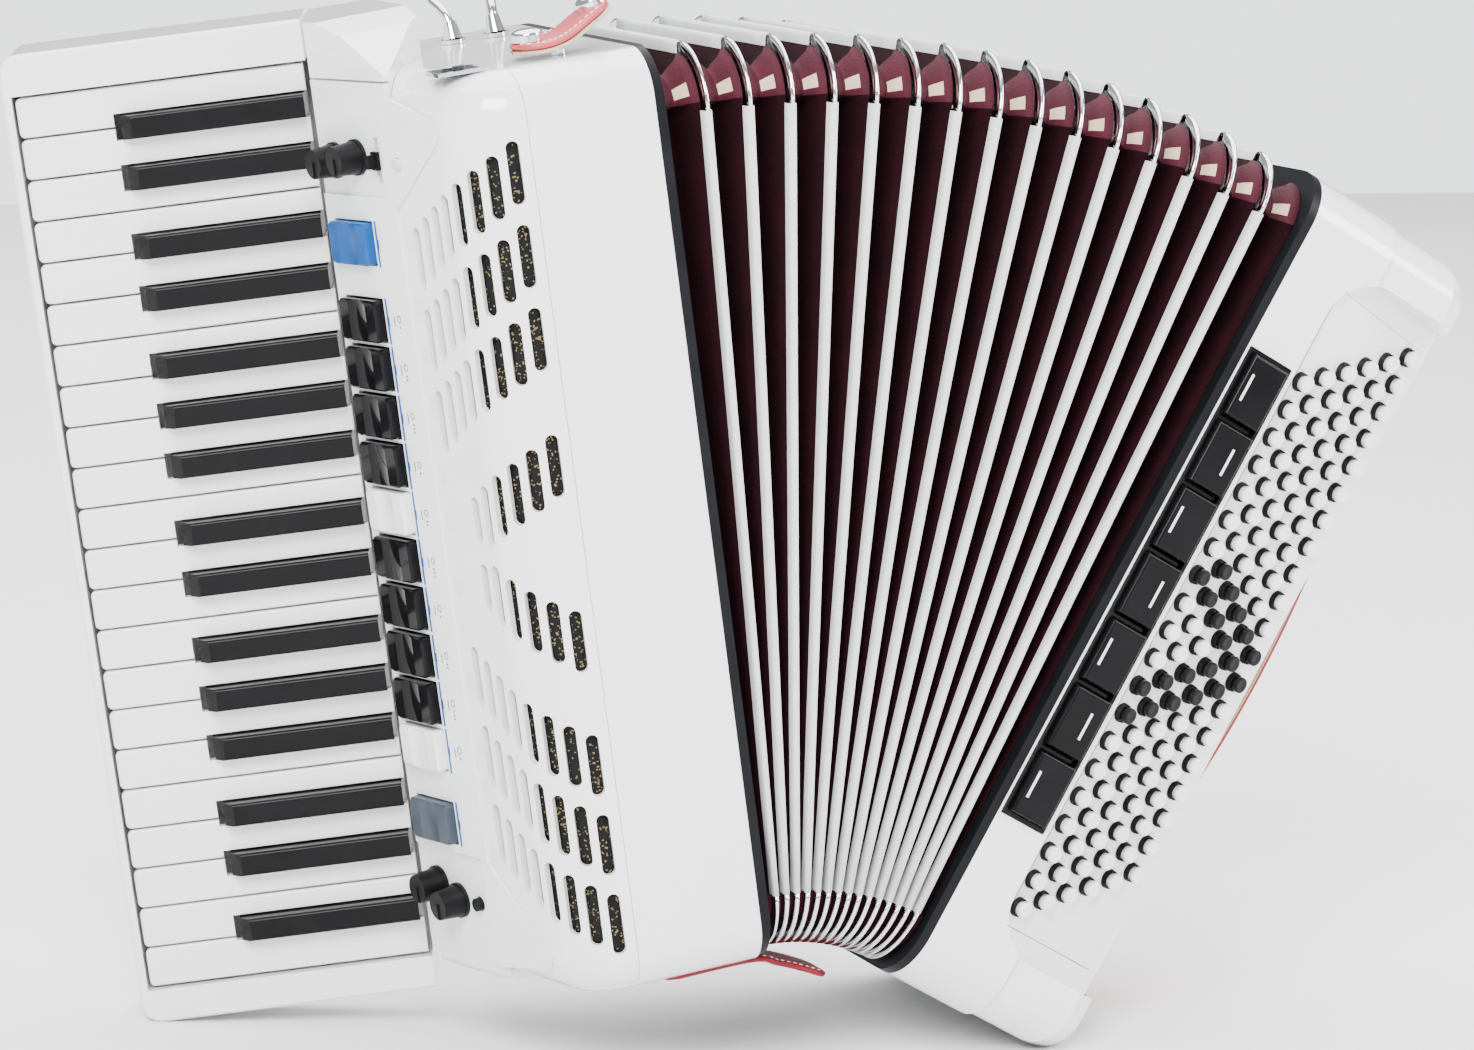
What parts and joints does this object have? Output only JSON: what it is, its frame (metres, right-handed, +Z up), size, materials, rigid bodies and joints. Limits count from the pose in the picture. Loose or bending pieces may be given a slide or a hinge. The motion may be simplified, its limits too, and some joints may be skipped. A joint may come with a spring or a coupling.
{
  "type": "piano accordion",
  "caption": "Piano-keyboard accordion with fan-opened bellows, slotted grille, register switches, slanted bass button board, straps and chrome fittings, standing on its edges.",
  "frame": {"origin": "centre of the footprint of the bounding box, on the surface the accordion stands on", "axes": "+X along the bellows from keyboard side to bass side, -Y the front, +Z up"},
  "size_m": [0.6548, 0.224, 0.4741],
  "materials": {
    "treble_casing": "gloss lacquered white",
    "grille_cover": "gloss white",
    "grille_mesh": "black and gold woven mesh",
    "control_panel": "gloss white",
    "treble_gasket": "matt black",
    "keyboard_housing": "gloss white",
    "key_axle": "ground steel",
    "strap_loop": "polished",
    "chrome_trim": "polished",
    "port_cover": "dark tinted",
    "bellows_strap_top": "red, stitched",
    "bellows_strap_bottom": "dark red",
    "speakers": "black paper cone and magnet",
    "strap_bracket_lower": "polished",
    "bellows_cloth": "burgundy cloth over card",
    "mode_slider": "black",
    "panel_button": "black",
    "power_button": "pale grey",
    "register_blue": "blue",
    "registers_black": "black",
    "registers_white": "white",
    "register_grey": "grey",
    "bass_casing": "gloss lacquered white",
    "bass_gasket": "matt black",
    "button_panel": "gloss white",
    "bass_bezel": "black",
    "bass_feet": "black rubber",
    "hand_strap": "red outside, beige lining",
    "bass_buttons_white": "white",
    "bass_buttons_black": "black",
    "bass_registers": "black",
    "air_button": "white",
    "keys_a": "polished white",
    "keys_b": "polished white",
    "keys_c": "polished white",
    "keys_d": "polished white",
    "keys_e": "polished white",
    "keys_f": "polished white",
    "keys_g": "polished white",
    "keys_black_threes": "satin black",
    "keys_black_twos": "satin black",
    "knob_upper_a": "black",
    "knob_upper_b": "black",
    "knob_lower_a": "black",
    "knob_lower_b": "black",
    "fold_01": "white cloth tape over leathered card, chromed corners",
    "fold_02": "white cloth tape over leathered card, chromed corners",
    "fold_03": "white cloth tape over leathered card, chromed corners",
    "fold_04": "white cloth tape over leathered card, chromed corners",
    "fold_05": "white cloth tape over leathered card, chromed corners",
    "fold_06": "white cloth tape over leathered card, chromed corners",
    "fold_07": "white cloth tape over leathered card, chromed corners",
    "fold_08": "white cloth tape over leathered card, chromed corners",
    "fold_09": "white cloth tape over leathered card, chromed corners",
    "fold_10": "white cloth tape over leathered card, chromed corners",
    "fold_11": "white cloth tape over leathered card, chromed corners",
    "fold_12": "white cloth tape over leathered card, chromed corners",
    "fold_13": "white cloth tape over leathered card, chromed corners",
    "fold_14": "white cloth tape over leathered card, chromed corners",
    "fold_15": "white cloth tape over leathered card, chromed corners"
  },
  "bodies": {
    "treble": {"treble_casing": "treble_casing", "grille_cover": "grille_cover", "grille_mesh": "grille_mesh", "control_panel": "control_panel", "treble_gasket": "treble_gasket", "keyboard_housing": "keyboard_housing", "key_axle": "key_axle", "strap_loop": "strap_loop", "chrome_trim": "chrome_trim", "port_cover": "port_cover", "bellows_strap_top": "bellows_strap_top", "bellows_strap_bottom": "bellows_strap_bottom", "speakers": "speakers", "strap_bracket_lower": "strap_bracket_lower", "bellows_cloth": "bellows_cloth"},
    "keys_a": {"keys_a": "keys_a"},
    "keys_b": {"keys_b": "keys_b"},
    "keys_c": {"keys_c": "keys_c"},
    "keys_d": {"keys_d": "keys_d"},
    "keys_e": {"keys_e": "keys_e"},
    "keys_f": {"keys_f": "keys_f"},
    "keys_g": {"keys_g": "keys_g"},
    "keys_black_threes": {"keys_black_threes": "keys_black_threes"},
    "keys_black_twos": {"keys_black_twos": "keys_black_twos"},
    "register_blue": {"register_blue": "register_blue"},
    "registers_black": {"registers_black": "registers_black"},
    "registers_white": {"registers_white": "registers_white"},
    "register_grey": {"register_grey": "register_grey"},
    "knob_upper_a": {"knob_upper_a": "knob_upper_a"},
    "knob_upper_b": {"knob_upper_b": "knob_upper_b"},
    "knob_lower_a": {"knob_lower_a": "knob_lower_a"},
    "knob_lower_b": {"knob_lower_b": "knob_lower_b"},
    "mode_slider": {"mode_slider": "mode_slider"},
    "panel_button": {"panel_button": "panel_button"},
    "power_button": {"power_button": "power_button"},
    "fold_01": {"fold_01": "fold_01"},
    "fold_02": {"fold_02": "fold_02"},
    "fold_03": {"fold_03": "fold_03"},
    "fold_04": {"fold_04": "fold_04"},
    "fold_05": {"fold_05": "fold_05"},
    "fold_06": {"fold_06": "fold_06"},
    "fold_07": {"fold_07": "fold_07"},
    "fold_08": {"fold_08": "fold_08"},
    "fold_09": {"fold_09": "fold_09"},
    "fold_10": {"fold_10": "fold_10"},
    "fold_11": {"fold_11": "fold_11"},
    "fold_12": {"fold_12": "fold_12"},
    "fold_13": {"fold_13": "fold_13"},
    "fold_14": {"fold_14": "fold_14"},
    "fold_15": {"fold_15": "fold_15"},
    "bass": {"bass_casing": "bass_casing", "bass_gasket": "bass_gasket", "button_panel": "button_panel", "bass_bezel": "bass_bezel", "bass_feet": "bass_feet", "hand_strap": "hand_strap"},
    "bass_buttons_white": {"bass_buttons_white": "bass_buttons_white"},
    "bass_buttons_black": {"bass_buttons_black": "bass_buttons_black"},
    "bass_registers": {"bass_registers": "bass_registers"},
    "air_button": {"air_button": "air_button"}
  },
  "joints": [
    {"name": "keys_a_press", "type": "hinge", "parent": "treble", "child": "keys_a", "pos_m": [-0.17133, 0.04593, 0.23164], "axis": [0.1606, 0, -0.987], "range_deg": [0, 2.4], "stiffness_Nm_per_rad": 1, "springref_deg": -3.44},
    {"name": "keys_b_press", "type": "hinge", "parent": "treble", "child": "keys_b", "pos_m": [-0.17133, 0.04593, 0.23164], "axis": [0.1606, 0, -0.987], "range_deg": [0, 2.4], "stiffness_Nm_per_rad": 1, "springref_deg": -3.44},
    {"name": "keys_c_press", "type": "hinge", "parent": "treble", "child": "keys_c", "pos_m": [-0.17133, 0.04593, 0.23164], "axis": [0.1606, 0, -0.987], "range_deg": [0, 2.4], "stiffness_Nm_per_rad": 1, "springref_deg": -3.44},
    {"name": "keys_d_press", "type": "hinge", "parent": "treble", "child": "keys_d", "pos_m": [-0.17133, 0.04593, 0.23164], "axis": [0.1606, 0, -0.987], "range_deg": [0, 2.4], "stiffness_Nm_per_rad": 1, "springref_deg": -3.44},
    {"name": "keys_e_press", "type": "hinge", "parent": "treble", "child": "keys_e", "pos_m": [-0.17133, 0.04593, 0.23164], "axis": [0.1606, 0, -0.987], "range_deg": [0, 2.4], "stiffness_Nm_per_rad": 1, "springref_deg": -3.44},
    {"name": "keys_f_press", "type": "hinge", "parent": "treble", "child": "keys_f", "pos_m": [-0.17133, 0.04593, 0.23164], "axis": [0.1606, 0, -0.987], "range_deg": [0, 2.4], "stiffness_Nm_per_rad": 1, "springref_deg": -3.44},
    {"name": "keys_g_press", "type": "hinge", "parent": "treble", "child": "keys_g", "pos_m": [-0.17133, 0.04593, 0.23164], "axis": [0.1606, 0, -0.987], "range_deg": [0, 2.4], "stiffness_Nm_per_rad": 1, "springref_deg": -3.44},
    {"name": "keys_black_threes_press", "type": "hinge", "parent": "treble", "child": "keys_black_threes", "pos_m": [-0.17133, 0.04593, 0.23164], "axis": [0.1606, 0, -0.987], "range_deg": [0, 2.4], "stiffness_Nm_per_rad": 1, "springref_deg": -3.44},
    {"name": "keys_black_twos_press", "type": "hinge", "parent": "treble", "child": "keys_black_twos", "pos_m": [-0.17133, 0.04593, 0.23164], "axis": [0.1606, 0, -0.987], "range_deg": [0, 2.4], "stiffness_Nm_per_rad": 1, "springref_deg": -3.44},
    {"name": "register_blue_press", "type": "slide", "parent": "treble", "child": "register_blue", "axis": [0.9577, 0.2419, 0.1558], "range_m": [0, 0.0012], "stiffness_N_per_m": 900, "springref_m": -0.001},
    {"name": "registers_black_press", "type": "slide", "parent": "treble", "child": "registers_black", "axis": [0.9577, 0.2419, 0.1558], "range_m": [0, 0.0012], "stiffness_N_per_m": 900, "springref_m": -0.001},
    {"name": "registers_white_press", "type": "slide", "parent": "treble", "child": "registers_white", "axis": [0.9577, 0.2419, 0.1558], "range_m": [0, 0.0012], "stiffness_N_per_m": 900, "springref_m": -0.001},
    {"name": "register_grey_press", "type": "slide", "parent": "treble", "child": "register_grey", "axis": [0.9577, 0.2419, 0.1558], "range_m": [0, 0.0012], "stiffness_N_per_m": 900, "springref_m": -0.001},
    {"name": "knob_upper_a_turn", "type": "hinge", "parent": "treble", "child": "knob_upper_a", "pos_m": [-0.19541, 0.00056, 0.39591], "axis": [-0.9577, -0.2419, -0.1558], "range_deg": [-150, 150]},
    {"name": "knob_upper_b_turn", "type": "hinge", "parent": "treble", "child": "knob_upper_b", "pos_m": [-0.19143, -0.01691, 0.39858], "axis": [-0.9577, -0.2419, -0.1558], "range_deg": [-150, 150]},
    {"name": "knob_lower_a_turn", "type": "hinge", "parent": "treble", "child": "knob_lower_a", "pos_m": [-0.14275, -0.00041, 0.07368], "axis": [-0.9577, -0.2419, -0.1558], "range_deg": [-150, 150]},
    {"name": "knob_lower_b_turn", "type": "hinge", "parent": "treble", "child": "knob_lower_b", "pos_m": [-0.13809, -0.01574, 0.06887], "axis": [-0.9577, -0.2419, -0.1558], "range_deg": [-150, 150]},
    {"name": "mode_slide", "type": "slide", "parent": "treble", "child": "mode_slider", "axis": [-0.1606, 0, 0.987], "range_m": [-0.006, 0.006]},
    {"name": "panel_button_press", "type": "slide", "parent": "treble", "child": "panel_button", "axis": [0.9577, 0.2419, 0.1558], "range_m": [0, 0.001], "stiffness_N_per_m": 600, "springref_m": -0.001},
    {"name": "power_button_press", "type": "slide", "parent": "treble", "child": "power_button", "axis": [0.9577, 0.2419, 0.1558], "range_m": [0, 0.0006], "stiffness_N_per_m": 600, "springref_m": -0.001},
    {"name": "bellows_01", "type": "hinge", "parent": "treble", "child": "fold_01", "pos_m": [-0.02159, -0.01224, 0.05337], "axis": [0, 1, 0], "range_deg": [-2.1, 0.9], "deforming": ["bellows_cloth"]},
    {"name": "bellows_02", "type": "hinge", "parent": "fold_01", "child": "fold_02", "pos_m": [-0.01791, -0.01224, 0.05381], "axis": [0, 1, 0], "range_deg": [-2.45, 1.25]},
    {"name": "bellows_03", "type": "hinge", "parent": "fold_02", "child": "fold_03", "pos_m": [-0.01422, -0.01224, 0.0541], "axis": [0, 1, 0], "range_deg": [-2.45, 1.25]},
    {"name": "bellows_04", "type": "hinge", "parent": "fold_03", "child": "fold_04", "pos_m": [-0.01052, -0.01224, 0.05423], "axis": [0, 1, 0], "range_deg": [-2.45, 1.25]},
    {"name": "bellows_05", "type": "hinge", "parent": "fold_04", "child": "fold_05", "pos_m": [-0.00683, -0.01224, 0.05421], "axis": [0, 1, 0], "range_deg": [-2.45, 1.25]},
    {"name": "bellows_06", "type": "hinge", "parent": "fold_05", "child": "fold_06", "pos_m": [-0.00313, -0.01224, 0.05403], "axis": [0, 1, 0], "range_deg": [-2.45, 1.25]},
    {"name": "bellows_07", "type": "hinge", "parent": "fold_06", "child": "fold_07", "pos_m": [0.00056, -0.01224, 0.05371], "axis": [0, 1, 0], "range_deg": [-2.45, 1.25]},
    {"name": "bellows_08", "type": "hinge", "parent": "fold_07", "child": "fold_08", "pos_m": [0.00422, -0.01224, 0.05322], "axis": [0, 1, 0], "range_deg": [-2.45, 1.25]},
    {"name": "bellows_09", "type": "hinge", "parent": "fold_08", "child": "fold_09", "pos_m": [0.00787, -0.01224, 0.05258], "axis": [0, 1, 0], "range_deg": [-2.45, 1.25]},
    {"name": "bellows_10", "type": "hinge", "parent": "fold_09", "child": "fold_10", "pos_m": [0.01148, -0.01224, 0.0518], "axis": [0, 1, 0], "range_deg": [-2.45, 1.25]},
    {"name": "bellows_11", "type": "hinge", "parent": "fold_10", "child": "fold_11", "pos_m": [0.01506, -0.01224, 0.05086], "axis": [0, 1, 0], "range_deg": [-2.45, 1.25]},
    {"name": "bellows_12", "type": "hinge", "parent": "fold_11", "child": "fold_12", "pos_m": [0.0186, -0.01224, 0.04977], "axis": [0, 1, 0], "range_deg": [-2.45, 1.25]},
    {"name": "bellows_13", "type": "hinge", "parent": "fold_12", "child": "fold_13", "pos_m": [0.02209, -0.01224, 0.04854], "axis": [0, 1, 0], "range_deg": [-2.45, 1.25]},
    {"name": "bellows_14", "type": "hinge", "parent": "fold_13", "child": "fold_14", "pos_m": [0.02552, -0.01224, 0.04716], "axis": [0, 1, 0], "range_deg": [-2.45, 1.25]},
    {"name": "bellows_15", "type": "hinge", "parent": "fold_14", "child": "fold_15", "pos_m": [0.02889, -0.01224, 0.04564], "axis": [0, 1, 0], "range_deg": [-2.45, 1.25]},
    {"name": "bellows_16", "type": "hinge", "parent": "fold_15", "child": "bass", "pos_m": [0.0322, -0.01224, 0.04398], "axis": [0, 1, 0], "range_deg": [-2.45, 1.25]},
    {"name": "bass_buttons_white_press", "type": "slide", "parent": "bass", "child": "bass_buttons_white", "axis": [-0.3694, 0.9063, 0.2053], "range_m": [0, 0.0032], "stiffness_N_per_m": 1500, "springref_m": -0.001},
    {"name": "bass_buttons_black_press", "type": "slide", "parent": "bass", "child": "bass_buttons_black", "axis": [-0.3694, 0.9063, 0.2053], "range_m": [0, 0.0032], "stiffness_N_per_m": 900, "springref_m": -0.001},
    {"name": "bass_registers_press", "type": "slide", "parent": "bass", "child": "bass_registers", "axis": [0, 1, 0], "range_m": [0, 0.0015], "stiffness_N_per_m": 1500, "springref_m": -0.001},
    {"name": "air_button_press", "type": "slide", "parent": "bass", "child": "air_button", "axis": [-0.8741, 0, 0.4857], "range_m": [0, 0.003], "stiffness_N_per_m": 900, "springref_m": -0.001}
  ],
  "couplings": [
    {"joint": "bellows_02", "follows": "bellows_01", "ratio": 1},
    {"joint": "bellows_03", "follows": "bellows_01", "ratio": 1},
    {"joint": "bellows_04", "follows": "bellows_01", "ratio": 1},
    {"joint": "bellows_05", "follows": "bellows_01", "ratio": 1},
    {"joint": "bellows_06", "follows": "bellows_01", "ratio": 1},
    {"joint": "bellows_07", "follows": "bellows_01", "ratio": 1},
    {"joint": "bellows_08", "follows": "bellows_01", "ratio": 1},
    {"joint": "bellows_09", "follows": "bellows_01", "ratio": 1},
    {"joint": "bellows_10", "follows": "bellows_01", "ratio": 1},
    {"joint": "bellows_11", "follows": "bellows_01", "ratio": 1},
    {"joint": "bellows_12", "follows": "bellows_01", "ratio": 1},
    {"joint": "bellows_13", "follows": "bellows_01", "ratio": 1},
    {"joint": "bellows_14", "follows": "bellows_01", "ratio": 1},
    {"joint": "bellows_15", "follows": "bellows_01", "ratio": 1},
    {"joint": "bellows_16", "follows": "bellows_01", "ratio": 1}
  ]
}
